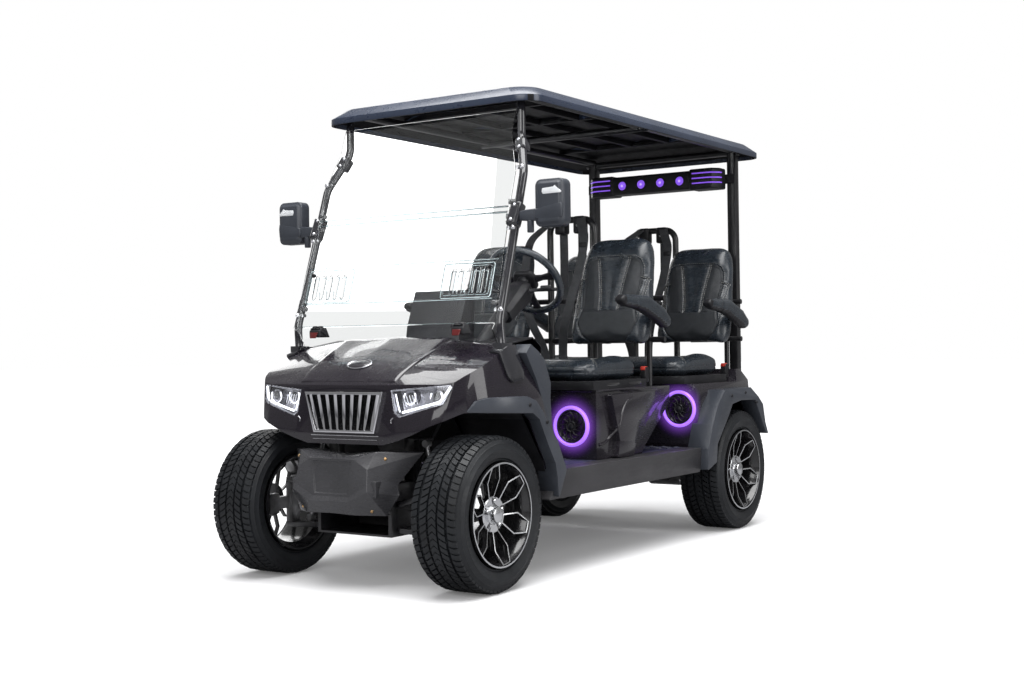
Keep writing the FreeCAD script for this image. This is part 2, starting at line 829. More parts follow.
cowl_section_shares = (
    # station, crown, crease across and height, shoulder across and height, side across
    (-0.12, 0.725, 0.380, 0.722, 0.60, 0.700, 0.640),
    (0.0, 0.800, 0.408, 0.799, 0.725, 0.776, 0.735),
    (0.10, 0.863, 0.424, 0.846, 0.831, 0.813, 0.845),
    (0.144, 0.883, 0.433, 0.863, 0.866, 0.834, 0.885),
    (0.206, 0.905, 0.442, 0.886, 0.896, 0.854, 0.935),
    (0.269, 0.924, 0.445, 0.906, 0.917, 0.873, 0.965),
    (0.363, 0.953, 0.454, 0.934, 0.925, 0.901, 0.985),
    (0.503, 0.991, 0.463, 0.979, 0.925, 0.940, 1.0),
    (0.74, 0.998, 0.470, 0.989, 0.935, 0.950, 1.0),
    (1.05, 1.002, 0.475, 0.994, 0.940, 0.955, 1.0),
)
# plan of the nose: shares of the half width and of the cowl length behind the foremost line
nose_low_shares = ((0, -0.003), (0.43, -0.004), (0.70, -0.004), (0.765, 0.022), (0.862, 0.116), (0.97, 0.218),
                   (1.06, 0.40))
nose_high_shares = ((0, 0.003), (0.38, 0.008), (0.73, 0.069), (0.828, 0.102), (0.89, 0.158), (0.985, 0.262),
                    (1.06, 0.40))
nose_level_shares = (0, 0.62, 0.82, 1.3)


def nose_form(inset, side_inset):
    # Everything behind the front face, which is upright in the middle and leans back at its corners.
    nose_y = front_axle_y - cowl_nose_reach
    wires = []
    for index in range(len(nose_level_shares)):
        shares = nose_low_shares if index < 2 else nose_high_shares
        half = [(across * cowl_half_width - (side_inset if across > 0 else 0), nose_y + along * cowl_length + inset)
                for across, along in shares]
        half += [(half[-1][0], nose_y + cowl_length * 2), (0, nose_y + cowl_length * 2)]
        level = nose_level_shares[index] * cowl_height
        corners = [point(across, y, level) for across, y in symmetric(half)]
        wires.append(Part.makePolygon(corners + [corners[0]]))
    return Part.makeLoft(wires, True, True)


def cowl_form(inset):
    wires = []
    for station, crown, crease_x, crease_z, shoulder_x, shoulder_z, side_x in cowl_section_shares:
        y = front_axle_y - cowl_nose_reach + station * cowl_length
        low_z = cowl_low_z - max(inset, 0) * 2
        half = [(0, crown * cowl_height - inset),
                (crease_x * cowl_half_width, crease_z * cowl_height - inset),
                (shoulder_x * cowl_half_width - inset, shoulder_z * cowl_height - inset),
                (side_x * cowl_half_width - inset, grille_top_z * shoulder_z),
                (side_x * cowl_half_width - inset, low_z)]
        half.append((0, low_z))
        corners = [point(across, y, up) for across, up in symmetric(half)]
        wires.append(Part.makePolygon(corners + [corners[0]]))
    form = Part.makeLoft(wires, True, True)
    return form.common(nose_form(inset, inset))


def above_sill(rise_share):
    # A height given as a share of the way from the sill to the top of the cowl.
    return sill_top_z + rise_share * (cowl_height - sill_top_z)


def cowl_rear_line():
    cowl_rear_shares = ((0.58, 0.878), (0.617, 0.858), (0.730, 0.667), (0.797, 0.510), (0.889, 0.222),
                        (0.93, -0.02))
    return [(front_axle_y - cowl_nose_reach + along * cowl_length, above_sill(up))
            for along, up in cowl_rear_shares]


front_arch_shares = ((-0.21, 0.972), (0.487, 0.941), (0.603, 0.877), (0.756, 0.623), (0.892, 0.421),
                     (0.928, 0.264), (0.945, 0.06))
front_flare_shares = ((-0.133, 1.079), (-0.026, 1.108), (0.395, 1.108), (0.549, 1.062), (0.685, 0.938),
                      (0.80, 0.782), (0.938, 0.644), (1.105, 0.341))
flare_plan_shares = ((0.80, -0.33), (0.808, -0.218), (0.864, -0.115), (0.92, 0), (0.96, 0.10), (0.989, 0.256),
                     (1.0, 0.46), (1.0, 1.5))
rear_arch_shares = ((-0.82, 0.154), (-0.785, 0.374), (-0.454, 0.705), (-0.338, 0.841), (-0.08, 0.877),
                    (0.36, 0.867), (0.60, 0.53), (0.70, 0.415), (0.78, 0.25))
rear_flare_shares = ((-1.064, 0.072), (-1.041, 0.333), (-0.915, 0.613), (-0.774, 0.836), (-0.554, 1.024),
                     (0.215, 1.031), (0.455, 0.905), (0.60, 0.80), (0.67, 0.56), (0.76, 0.41))


def front_cowl():
    shell = cowl_form(0).cut(cowl_form(cowl_wall))
    fascia_shares = ((0, 0.569), (0.33, 0.569), (0.46, 0.590), (0.55, 0.608), (0.69, 0.643), (0.78, 0.665),
                     (0.87, 0.694), (1.2, 0.696))
    fascia = [(across * cowl_half_width, up * cowl_height) for across, up in fascia_shares]
    fascia += [(fascia[-1][0], 0), (0, 0)]
    nose_y = front_axle_y - cowl_nose_reach
    shell = shell.cut(prism(symmetric(fascia), "y", nose_y - overrun, front_axle_y + cowl_wall))
    arch = ring_line(front_arch_shares, arch_radius, front_axle_y, tyre_radius)
    arch[0] = (front_axle_y, arch[0][1])
    arch = arch + [(arch[-1][0], 0), (arch[0][0], 0)]
    shell = shell.cut(prism(arch, "x", -cowl_half_width - overrun, cowl_half_width + overrun))
    rear = cowl_rear_line()
    behind = [(rear[0][0], cowl_height * 1.3)] + rear
    behind += [(behind[-1][0], 0), (front_axle_y + cowl_length * 1.2, 0),
               (front_axle_y + cowl_length * 1.2, cowl_height * 1.3)]
    shell = shell.cut(prism(behind, "x", -cowl_half_width - overrun, cowl_half_width + overrun))
    for corners in [grille_corners(seat_gap)] + lamp_corner_pair(seat_gap):
        shell = shell.cut(prism(corners, "y", nose_y - overrun, nose_y + lamp_depth * 2))
    return max(shell.Solids, key=lambda solid: solid.Volume)


def leg_shield():
    shield_shares = ((1.07, 0.016), (0.966, 0.126), (0.906, 0.327), (0.891, 0.510), (0.898, 0.634), (0.825, 0.813),
                     (0.753, 0.874), (0.675, 0.921))
    nose_y = front_axle_y - cowl_nose_reach
    inner = [(y + seat_gap, z) for y, z in cowl_rear_line()[1:-1]]
    foot = cowl_rear_line()[-1]
    inner.append((foot[0] + seat_gap, above_sill(shield_shares[0][1])))
    outer = [(nose_y + along * cowl_length, above_sill(up)) for along, up in shield_shares]
    return prism(inner + outer, "x", dash_half_width + seat_gap, cowl_half_width, cowl_wall)


# Grille and lamps

def grille_corners(grow):
    return symmetric([(0, grille_top_z + grow), (grille_top_half + grow, grille_top_z + grow),
                      (grille_low_half + grow, grille_low_z - grow), (0, grille_low_z - grow)])


def grille_bar(share):
    # One bar, wide above its kink and narrow below it.
    top = share * (grille_top_half - grille_frame * 2)
    low = share * (grille_low_half - grille_frame * 2)
    kink_share = 0.38
    kink = low + (top - low) * kink_share
    kink_z = grille_low_z + (grille_top_z - grille_low_z) * kink_share
    wide = grille_bar_top / 2
    narrow = grille_bar_low / 2
    corners = [(top - wide, grille_top_z), (top + wide, grille_top_z), (kink + wide * 0.9, kink_z),
               (low + narrow, grille_low_z), (low - narrow, grille_low_z), (kink - wide * 0.9, kink_z)]
    nose_y = front_axle_y - cowl_nose_reach
    return prism(corners, "y", nose_y - grille_frame / 2, nose_y + grille_depth)


def grille():
    nose_y = front_axle_y - cowl_nose_reach
    outer = prism(grille_corners(0), "y", nose_y - grille_frame, nose_y + grille_depth + grille_frame)
    inner = prism(grille_corners(-grille_frame), "y", nose_y - overrun, nose_y + grille_depth)
    bars = [grille_bar(2 * index / (grille_bar_count - 1) - 1) for index in range(grille_bar_count)]
    return fused([outer.cut(inner)] + [bar.common(outer) for bar in bars])


lamp_corner_shares = ((0.388, 0.784), (0.800, 0.803), (0.816, 0.794), (0.769, 0.728), (0.456, 0.677),
                      (0.417, 0.693))


def lamp_corners(grow):
    corners = [(across * cowl_half_width, up * cowl_height) for across, up in lamp_corner_shares]
    mid_x = sum(spot[0] for spot in corners) / len(corners)
    mid_z = sum(spot[1] for spot in corners) / len(corners)
    return [(x + (grow if x > mid_x else -grow), z + (grow if z > mid_z else -grow)) for x, z in corners]


def lamp_corner_pair(grow):
    left = lamp_corners(grow)
    return [left, [(-x, z) for x, z in left]]


def headlamp():
    nose_y = front_axle_y - cowl_nose_reach
    deep_y = nose_y + lamp_depth * 3
    block = prism(lamp_corners(0), "y", nose_y - overrun, deep_y).common(cowl_form(lens_thick + seat_gap))
    back = nose_form(lamp_depth, lamp_wall)
    recess = prism(lamp_corners(-lamp_wall), "y", nose_y - overrun, deep_y).cut(
        nose_form(lamp_depth - lamp_wall, 0))
    housing = block.cut(back).cut(recess)
    barrels = []
    for share in (0.502, 0.696):
        barrel = cylinder("y", (cowl_half_width * share, projector_z), projector_radius, nose_y, deep_y)
        barrels.append(barrel.common(nose_form(lamp_depth - projector_depth, 0)).cut(back))
    return fused([housing] + barrels)


def lamp_lens():
    nose_y = front_axle_y - cowl_nose_reach
    block = prism(lamp_corners(0), "y", nose_y - overrun, nose_y + lamp_depth * 2)
    return block.common(cowl_form(0)).cut(cowl_form(lens_thick))


# Bumper

def bumper_form(inset):
    reach = bumper_reach - inset
    back = bumper_back_reach
    half = bumper_half_width - inset
    plan = [(0, front_axle_y - reach), (half * 0.305, front_axle_y - reach), (half * 0.53, front_axle_y - reach
            * 0.955), (half, front_axle_y - back - inset), (half, front_axle_y - back + overrun + inset),
            (0, front_axle_y - back + overrun + inset)]
    low = bumper_low_z + inset
    top = bumper_top_z - inset
    step_y = front_axle_y - subframe_half_y - bumper_wall + inset
    front = [(0, top - (top - low) * 0.05), (half * 0.53, top - (top - low) * 0.05), (half, top),
             (half, low + (top - low) * 0.62), (half * 0.82, low + (top - low) * 0.07), (half * 0.6, low), (0, low)]
    side = [(front_axle_y - reach, low + (top - low) * 0.30), (front_axle_y - reach, low + (top - low) * 0.72),
            (front_axle_y - reach * 0.93, top), (front_axle_y, top), (front_axle_y, low + (top - low) * 0.54),
            (step_y, low + (top - low) * 0.53), (step_y, low), (front_axle_y - reach * 0.80, low)]
    form = prism(symmetric(plan), "z", low - overrun, top + overrun)
    form = form.common(prism(symmetric(front), "y", front_axle_y - reach - overrun, front_axle_y))
    return form.common(prism(side, "x", -half - overrun, half + overrun))


lip_shares = [(0.0, 0.29), (0.30, 0.29), (0.555, 0.47), (0.75, 0.36), (0.63, 0.0), (0.0, 0.0)]


def bumper_lip_form(inset):
    # The lower edge, which stands out in front of the main panel and rises into the wings.
    half = bumper_half_width - inset
    front_y = front_axle_y - bumper_reach - bumper_lip + inset
    back_y = front_y + bumper_lip * 6.5
    low = bumper_low_z + inset
    tall = bumper_top_z - bumper_low_z - inset * 2
    plan = [(0, front_y), (half * 0.30, front_y), (half * 0.555, front_y + bumper_lip * 0.6), (half * 0.75, back_y),
            (0, back_y)]
    front = [(half * x, low + tall * z) for x, z in lip_shares]
    form = prism(symmetric(plan), "z", low - overrun, low + tall)
    form = form.common(prism(symmetric(front), "y", front_y - overrun, back_y))
    top = low + tall * 0.47
    side = [(front_y, top - bumper_lip), (front_y + bumper_lip, top), (back_y, top), (back_y, low),
            (front_y + bumper_lip * 1.5, low), (front_y, low + bumper_lip)]
    return form.common(prism(side, "x", -half, half))


def front_bumper():
    form = fused([bumper_form(0), bumper_lip_form(0)])
    hollow = fused([bumper_form(bumper_wall), bumper_lip_form(bumper_wall)])
    front_y = front_axle_y - bumper_reach
    half = bumper_half_width * 0.26
    tall = bumper_top_z - bumper_low_z
    pocket = box(-half, half, front_y - overrun, front_y + bumper_recess, bumper_low_z + tall * 0.33,
                 bumper_low_z + tall * 0.80)
    backing = box(-half - bumper_wall, half + bumper_wall, front_y, front_y + bumper_recess + bumper_wall,
                  bumper_low_z + tall * 0.33 - bumper_wall, bumper_low_z + tall * 0.80 + bumper_wall)
    shell = fused([form.cut(hollow), backing.common(form)]).cut(pocket)
    brackets = []
    back_y = front_axle_y - bumper_reach + bumper_recess + bumper_wall
    for side in (-1, 1):
        brackets.append(box(side * rail_x - rail_width / 3, side * rail_x + rail_width / 3, back_y,
                            front_axle_y - rail_front_reach - seat_gap, rail_low_z + rail_wall,
                            rail_low_z + rail_height - rail_wall))
    return fused([shell] + brackets)


# Flares and liners

def flare(inner_shares, outer_shares, axle_y, inner_x, outer_x):
    inner = ring_line(inner_shares, arch_radius, axle_y, tyre_radius)
    outer = ring_line(outer_shares, arch_radius, axle_y, tyre_radius)
    return prism(inner + list(reversed(outer)), "x", inner_x, outer_x, cowl_wall)


def front_flare():
    band = flare(front_arch_shares, front_flare_shares, front_axle_y, flare_inner_x, flare_outer_x)
    plan = [(across * flare_outer_x, front_axle_y + along * arch_radius) for across, along in flare_plan_shares]
    side_x = cowl_half_width * 0.93
    plan += [(side_x, plan[-1][1]), (side_x, front_axle_y), (flare_inner_x, plan[0][1])]
    band = band.common(prism(plan, "z", 0, cowl_height))
    band = band.cut(cowl_form(-seat_gap)).cut(sill_block())
    return max(band.Solids, key=lambda solid: solid.Volume)


def rear_flare():
    band = flare(rear_arch_shares[:-1], rear_flare_shares, rear_axle_y, rear_flare_inner_x, rear_flare_outer_x)
    band = band.cut(tail_form(-seat_gap)).cut(sill_block())
    return max(band.Solids, key=lambda solid: solid.Volume)


def sill_block():
    start = front_axle_y + rocker_end_reach
    end = rear_axle_y - arch_radius
    height = sill_top_z - sill_low_z
    side = [(start - height * 0.55 - seat_gap, sill_low_z - seat_gap), (end - height * 0.3, sill_low_z - seat_gap),
            (end, sill_low_z + height * 0.35), (end, sill_top_z + seat_gap), (start + height * 0.45 - seat_gap,
            sill_top_z + seat_gap)]
    return prism(side, "x", floor_half_width, sill_outer_x + seat_gap)


def liner(shares, axle_y, inner_x, outer_x):
    outside = ring_line(shares, arch_radius, axle_y, tyre_radius, -seat_gap)
    inside = ring_line(shares, arch_radius, axle_y, tyre_radius, -seat_gap - liner_wall)
    return prism(outside + list(reversed(inside)), "x", inner_x, outer_x)


def wheel_liners():
    shares = ((-0.1, front_arch_shares[0][1]),) + front_arch_shares[1:]
    front = liner(shares, front_axle_y, liner_inner_x, flare_outer_x).common(cowl_form(cowl_wall + seat_gap))
    rear = liner(rear_arch_shares, rear_axle_y, rear_liner_inner_x, rear_flare_outer_x)
    rear = rear.common(tail_form(tail_wall + seat_gap))
    return pair(front.cut(sill_block())) + pair(rear.cut(sill_block()))


# Dashboard and controls

def dash_start_y():
    return cowl_rear_line()[0][0] + seat_gap


def dash_line():
    dash_shares = ((0, 0.972), (0.75, 1.0), (1.0, 0.955), (0.90, 0.80), (0.52, 0.70), (0.62, 0.56), (1.02, 0.449))
    start = dash_start_y()
    return [(start + along * dash_depth, up * dash_top_z) for along, up in dash_shares]


def dashboard():
    top = dash_line()
    under = [(y + dash_wall * 0.2, z - dash_wall) for y, z in top[:2]]
    under += [(y - dash_wall, z) for y, z in top[2:]]
    panel = prism(top + list(reversed(under)), "x", -dash_half_width, dash_half_width)
    face_y = dash_start_y() + dash_depth * 0.86
    low_z = dash_top_z * 0.985
    rise = binnacle_top_z - low_z
    hood = [(face_y, low_z - dash_wall * 3), (face_y + binnacle_depth * 0.2, binnacle_top_z),
            (face_y - binnacle_depth * 0.55, binnacle_top_z), (face_y - binnacle_depth * 1.4, low_z + rise * 0.3),
            (face_y - binnacle_depth * 1.6, low_z - dash_wall * 3)]
    pod = prism(hood, "x", binnacle_centre_x - binnacle_half_width, binnacle_centre_x + binnacle_half_width,
                dash_wall)
    below = prism([top[0], top[1], top[2], (top[2][0], 0), (top[0][0], 0)], "x", -dash_half_width, dash_half_width)
    pod = pod.cut(below)
    solid = fused([panel, pod])
    solid = solid.cut(column_solid(seat_gap)).cut(column_shroud(seat_gap))
    return max(solid.Solids, key=lambda piece: piece.Volume)


def steering_frame():
    tilt = math.radians(steering_tilt_deg)
    centre = point(steering_x, front_axle_y + steering_reach, steering_z)
    return centre, point(0, math.cos(tilt), math.sin(tilt))


def column_solid(grow):
    centre, axis = steering_frame()
    start = centre - axis * (steering_hub_depth + caliper_gap)
    return rod(start, start - axis * column_length, column_radius + grow)


def column_shroud(grow):
    # The housing of the switches, which grows wider towards the wheel.
    centre, axis = steering_frame()
    side = point(1, 0, 0)
    up = axis.cross(side) * -1
    start = centre - axis * (steering_hub_depth + caliper_gap)
    wires = []
    for along, scale in ((0, 0.80), (0.25, 1.0), (1.0, 0.66)):
        middle = start - axis * (shroud_length * along) - up * (shroud_height * 0.12)
        wide = side * (shroud_width * scale / 2 + grow)
        tall = up * (shroud_height * scale / 2 + grow)
        corners = [middle + wide + tall * 0.6, middle + wide * 0.6 + tall, middle - wide * 0.6 + tall,
                   middle - wide + tall * 0.6, middle - wide - tall * 0.5, middle - wide * 0.5 - tall,
                   middle + wide * 0.5 - tall, middle + wide - tall * 0.5]
        wires.append(Part.makePolygon(corners + [corners[0]]))
    return Part.makeLoft(wires, True, True)


def steering_column():
    centre, axis = steering_frame()
    start = centre - axis * (steering_hub_depth + caliper_gap)
    end = start - axis * column_length
    bore = rod(centre, start - axis * column_length / 3, column_shaft_radius + seat_gap)
    rack = point(rack_half_length * 0.4, front_axle_y + steer_arm_reach, rail_low_z + column_shaft_radius)
    knee = end - axis * column_radius
    lower = bent_tube([start - axis * column_length * 0.9, knee, rack], column_shaft_radius, column_radius)
    stalk_z = start - axis * column_radius
    stalks = rod(stalk_z - point(column_length * 0.42, 0, 0), stalk_z + point(column_length * 0.42, 0, 0),
                 column_shaft_radius * 0.8)
    housing = column_shroud(0).cut(rod(centre, end, column_radius * 0.8))
    return fused([column_solid(0).cut(bore), housing, lower, stalks.cut(rod(centre, end, column_radius * 0.8))])


def steering_wheel():
    centre, axis = steering_frame()
    torus = Part.makeTorus(steering_wheel_radius - steering_rim_radius, steering_rim_radius, centre, axis)
    hub = rod(centre - axis * steering_hub_depth, centre, steering_hub_radius)
    shaft = rod(centre - axis * (steering_hub_depth + column_length * 0.3), centre, column_shaft_radius)
    spokes = []
    side = point(1, 0, 0)
    down = axis.cross(side)
    reach = steering_wheel_radius - steering_rim_radius
    for angle_deg in (0, 180, 270):
        angle = math.radians(angle_deg)
        way = side * math.cos(angle) - down * math.sin(angle)
        spokes.append(rod(centre - axis * steering_hub_depth / 2, centre + way * reach, steering_rim_radius * 0.7))
    return fused([torus, hub, shaft] + spokes)


def pedals():
    # Two pads that stand off the sloping toe board, along its normal.
    high, low = [point(0, y, z) for y, z in dash_line()[-2:]]
    slope = high - low
    slope.normalize()
    normal = point(0, slope.z, -slope.y)
    middle = (high + low) * 0.5
    found = []
    for x, width in ((steering_x - pedal_width, pedal_width * 1.3), (steering_x + pedal_width, pedal_width * 0.8)):
        centre = middle + normal * pedal_stand_off
        corners = []
        for along, across in ((-0.5, -0.5), (0.5, -0.5), (0.5, 0.5), (-0.5, 0.5)):
            spot = centre + slope * (along * pedal_height) + normal * (across * pedal_thick)
            corners.append((spot.y, spot.z))
        pad = prism(corners, "x", x - width / 2, x + width / 2, pedal_thick / 3)
        shift = point(x, 0, 0)
        arm = rod(shift + middle + normal * seat_gap, shift + centre, pedal_arm)
        found.append(fused([pad, arm]))
    return found


# Windscreen

def roof_rail_z():
    # The rails lie under the ribs of the roof.
    rib_low_z = roof_rib_top_z() - roof_rib_height
    return rib_low_z - roof_rail_radius - seat_gap


def cross_tube_z():
    return roof_rail_z() - roof_rail_radius * 0.7


def roof_rib_top_z():
    return roof_lip_z + (roof_top_z - roof_lip_z) * 0.98 - roof_wall


def post_corners():
    return [point(post_base_x, front_axle_y + post_base_reach, post_base_z),
            point(post_bow_x, front_axle_y + post_bow_reach, post_bow_z),
            point(post_knee_x, front_axle_y + post_knee_reach, post_knee_z),
            point(post_top_x, front_axle_y + post_top_reach, post_bend_z),
            point(post_top_x, front_axle_y + post_top_reach, cross_tube_z() - roof_rail_radius - seat_gap)]


def glass_y(z):
    # The front of the glass, which leans back above its fold and tucks in below it.
    if z < glass_fold_z:
        return front_axle_y + glass_fold_reach + (glass_low_reach - glass_fold_reach) * (glass_fold_z - z) / (
            glass_fold_z - glass_low_z)
    return front_axle_y + glass_fold_reach + glass_slope * (z - glass_fold_z)


def post_at(z):
    # The middle of the long straight run of the left post at one height.
    base, knee = post_corners()[1:3]
    share = (z - base.z) / (knee.z - base.z)
    return base + (knee - base) * share


def bracket_heights():
    return (glass_fold_z + bracket_height, glass_split_z - bracket_height / 4, glass_split_z + bracket_height / 2)


def windscreen_post():
    corners = post_corners()
    tube = bent_tube(corners, post_radius, post_bend_radius)
    foot_y = corners[0].y
    foot = box(post_base_x - post_radius * 1.3, post_base_x + post_radius * 1.3, foot_y - post_radius * 1.8,
               foot_y + post_radius * 2.2, post_base_z - post_radius * 2, post_base_z + post_radius * 0.6)
    boot_shares = ((0.59, 0.95), (1.36, 0.96), (1.54, 0.845), (1.47, 0.815), (1.0, 0.805), (0.83, 0.825))
    boot = [(front_axle_y + along * post_base_reach, up * cowl_height) for along, up in boot_shares]
    boot = prism(boot, "x", post_base_x - post_radius * 1.3, cowl_half_width * 1.1, post_radius)
    boot = boot.common(cowl_form(-seat_gap - boot_thick))
    joints = []
    for z in bracket_heights():
        spot = post_at(z)
        joints.append(rod(point(glass_half_width - post_radius, glass_y(z) + glass_thick + post_radius * 0.57, z),
                          spot, post_radius * 0.6))
    return fused([tube, foot, boot] + joints).cut(cowl_form(-seat_gap))


def glass_panel(low_z, high_z):
    levels = [low_z, glass_fold_z, high_z] if low_z < glass_fold_z else [low_z, high_z]
    front = [(glass_y(z), z) for z in levels]
    back = [(y + glass_thick, z) for y, z in reversed(front)]
    return prism(front + back, "x", -glass_fold_half, glass_fold_half)


def windscreen_upper():
    panel = glass_panel(glass_split_z, glass_top_z)
    shape = symmetric([(0, glass_split_z - overrun), (glass_half_width, glass_split_z - overrun),
                       (glass_half_width, post_knee_z), (glass_top_half, post_bend_z),
                       (glass_top_half, glass_top_z + overrun), (0, glass_top_z + overrun)])
    mask = prism(shape, "y", front_axle_y - overrun, front_axle_y + roof_front_reach * 2)
    return panel.common(mask)


def vent_slots_at():
    low = glass_fold_z + vent_rise
    pitch = (vent_outer_x - vent_inner_x) * 0.8 / vent_slots
    start = vent_inner_x + (vent_outer_x - vent_inner_x) * 0.12
    slots = []
    for index in range(vent_slots):
        x = start + pitch * (index + 0.5)
        corners = [(x - vent_slot_width / 2, low + vent_height * 0.12), (x + vent_slot_width / 2, low + vent_height
                   * 0.12), (x + vent_slot_width / 2, low + vent_height * 0.82), (x - vent_slot_width / 2, low
                   + vent_height * 0.82)]
        slots.append(prism(corners, "y", front_axle_y - overrun, front_axle_y + roof_front_reach, vent_slot_width / 2))
    return slots


def windscreen_lower():
    panel = glass_panel(glass_low_z, glass_split_z - seat_gap * 6)
    shape = symmetric([(0, glass_low_z - overrun), (glass_half_width, glass_low_z - overrun),
                       (glass_half_width, glass_low_z + (glass_fold_z - glass_low_z) * 0.7),
                       (glass_fold_half, glass_fold_z), (glass_half_width, glass_split_z + overrun),
                       (0, glass_split_z + overrun)])
    panel = panel.common(prism(shape, "y", front_axle_y - overrun, front_axle_y + roof_front_reach * 2))
    slots = vent_slots_at()
    slots += [mirrored(slot) for slot in slots]
    return panel.cut(Part.makeCompound(slots + [cowl_form(-seat_gap)]))


def windscreen_clips():
    high = glass_fold_z - glass_thick / 2
    low = high - clip_height
    side = [(glass_y(low) - seat_gap, low), (glass_y(high) - seat_gap, high), (glass_y(high) - clip_depth, high),
            (glass_y(high) - clip_depth * 1.3, high - clip_height * 0.4), (glass_y(low) - clip_depth * 0.6, low)]
    return pair(prism(side, "x", clip_x - clip_width / 2, clip_x + clip_width / 2))


# Mirrors

def mirror():
    y0 = front_axle_y + mirror_reach
    face = [(mirror_inner_x, mirror_low_z), (mirror_outer_x - mirror_depth * 0.2, mirror_low_z),
            (mirror_outer_x, mirror_low_z + mirror_depth), (mirror_outer_x, mirror_top_z),
            (mirror_inner_x, mirror_top_z)]
    shell = prism(face, "y", y0 - mirror_depth / 2, y0 + mirror_depth / 2, mirror_depth / 4)
    plan = [(mirror_inner_x, y0 + mirror_depth / 2), (mirror_outer_x, y0 + mirror_depth / 2),
            (mirror_outer_x, y0 - mirror_depth * 0.2), (mirror_outer_x - mirror_depth, y0 - mirror_depth / 2),
            (mirror_inner_x, y0 - mirror_depth * 0.3)]
    shell = shell.common(prism(plan, "z", mirror_low_z - overrun, mirror_top_z + overrun, mirror_depth / 5))
    mid_z = bracket_heights()[2]
    arm = rod(post_at(mid_z), point(mirror_inner_x + mirror_depth / 3, y0, mid_z), mirror_arm_radius)
    post = bent_tube(post_corners(), post_radius + seat_gap, post_bend_radius)
    joint = rod(point(glass_half_width - post_radius, glass_y(mid_z) + glass_thick, mid_z), post_at(mid_z),
                post_radius * 0.6 + seat_gap)
    return fused([shell, arm.cut(post)]).cut(joint)


# Roof

def roof_form(inset):
    roof_rise_shares = ((0, 0), (0.28, 0), (0.72, 0.09), (0.93, 0.24), (1.0, 0.42))
    front_y = front_axle_y + roof_front_reach
    wires = []
    for up, draw in roof_rise_shares:
        shrink = draw * roof_half_width + inset
        z = roof_lip_z + up * (roof_top_z - roof_lip_z) - (inset if up > 0 else inset * overrun)
        half = roof_half_width - shrink
        corners = [(half, front_y + shrink), (half, roof_rear_y - shrink), (-half, roof_rear_y - shrink),
                   (-half, front_y + shrink)]
        wires.append(outline(corners, "z", z, roof_corner))
    return Part.makeLoft(wires, True, True)


def roof():
    shell = roof_form(0).cut(roof_form(roof_wall))
    ribs = []
    front_y = front_axle_y + roof_front_reach
    length = roof_rear_y - front_y
    top = roof_rib_top_z()
    half = roof_half_width * 0.8
    for share in (0.2, 0.4, 0.6, 0.8):
        y = front_y + share * length
        ribs.append(box(-half, half, y - roof_rib_width / 2, y + roof_rib_width / 2, top - roof_rib_height, top))
    for side in (-0.5, 0, 0.5):
        x = side * half
        ribs.append(box(x - roof_rib_width / 2, x + roof_rib_width / 2, front_y + length * 0.2, front_y
                        + length * 0.8, top - roof_rib_height, top))
    return fused([shell] + [rib.common(roof_form(roof_wall / 2)) for rib in ribs])


def roof_frame():
    front_y = front_axle_y + post_top_reach
    rear_y = rear_axle_y + rear_post_reach
    z = roof_rail_z()
    pieces = []
    for side in (-1, 1):
        x = side * rear_post_x
        pieces.append(cylinder("y", (x, z), roof_rail_radius, front_y, rear_y))
        half = rear_post_size / 2
        pieces.append(box(x - half, x + half, rear_y - half, rear_y + half,
                          rail_low_z + rear_bar_height + seat_gap, z))
    for y in (front_y, (front_y + rear_y) / 2, rear_y):
        pieces.append(cylinder("x", (y, cross_tube_z()), roof_rail_radius, -post_top_x - post_radius, post_top_x
                               + post_radius))
    return fused(pieces)


def sound_bar():
    rear_y = rear_axle_y + rear_post_reach - rear_post_size / 2
    front_y = rear_y - sound_bar_depth
    plan = [(sound_bar_half, rear_y - seat_gap), (sound_bar_half, rear_y - sound_bar_depth * 0.4),
            (sound_bar_half - sound_bar_chamfer, front_y)]
    plan += [(-x, y) for x, y in reversed(plan)]
    body = prism(plan, "z", sound_bar_low_z, sound_bar_high_z, rim_lip)
    half = rear_post_x - rear_post_size / 2 - seat_gap
    strap = box(-half, half, rear_y - seat_gap - rim_wall, rear_y - seat_gap, sound_bar_low_z + rim_wall * 3,
                sound_bar_high_z - rim_wall * 3)
    wings = [box(min(side * half, side * (half + rear_post_size)), max(side * half, side * (half + rear_post_size)),
                 rear_y - seat_gap - rim_wall, rear_y - seat_gap, sound_bar_low_z + rim_wall * 3,
                 sound_bar_high_z - rim_wall * 3) for side in (-1, 1)]
    return fused([body, strap] + wings)


# Seats

def seat_rows():
    return ((0, "front"), (seat_pitch, "rear"))


def hinge_line(shift):
    y = front_axle_y + cushion_front_reach + cushion_depth + hinge_set_back + shift
    return y, pod_top_z + seat_gap + pan_thick


def hinge_brackets(shift):
    # Two cheeks and a pin for each hinge, standing on the pod.
    y, z = hinge_line(shift)
    half = hinge_width / 2
    found = []
    for side in (-1, 1):
        x = side * hinge_x
        cheeks = [box(x + way * (half + hinge_radius) - hinge_radius / 2, x + way * (half + hinge_radius)
                      + hinge_radius / 2, y - hinge_radius, y + hinge_radius, pod_top_z - pod_wall, z + hinge_radius)
                  for way in (-1, 1)]
        pin = cylinder("x", (y, z), hinge_pin_radius, x - half - hinge_radius, x + half + hinge_radius)
        found += cheeks + [pin]
    return found


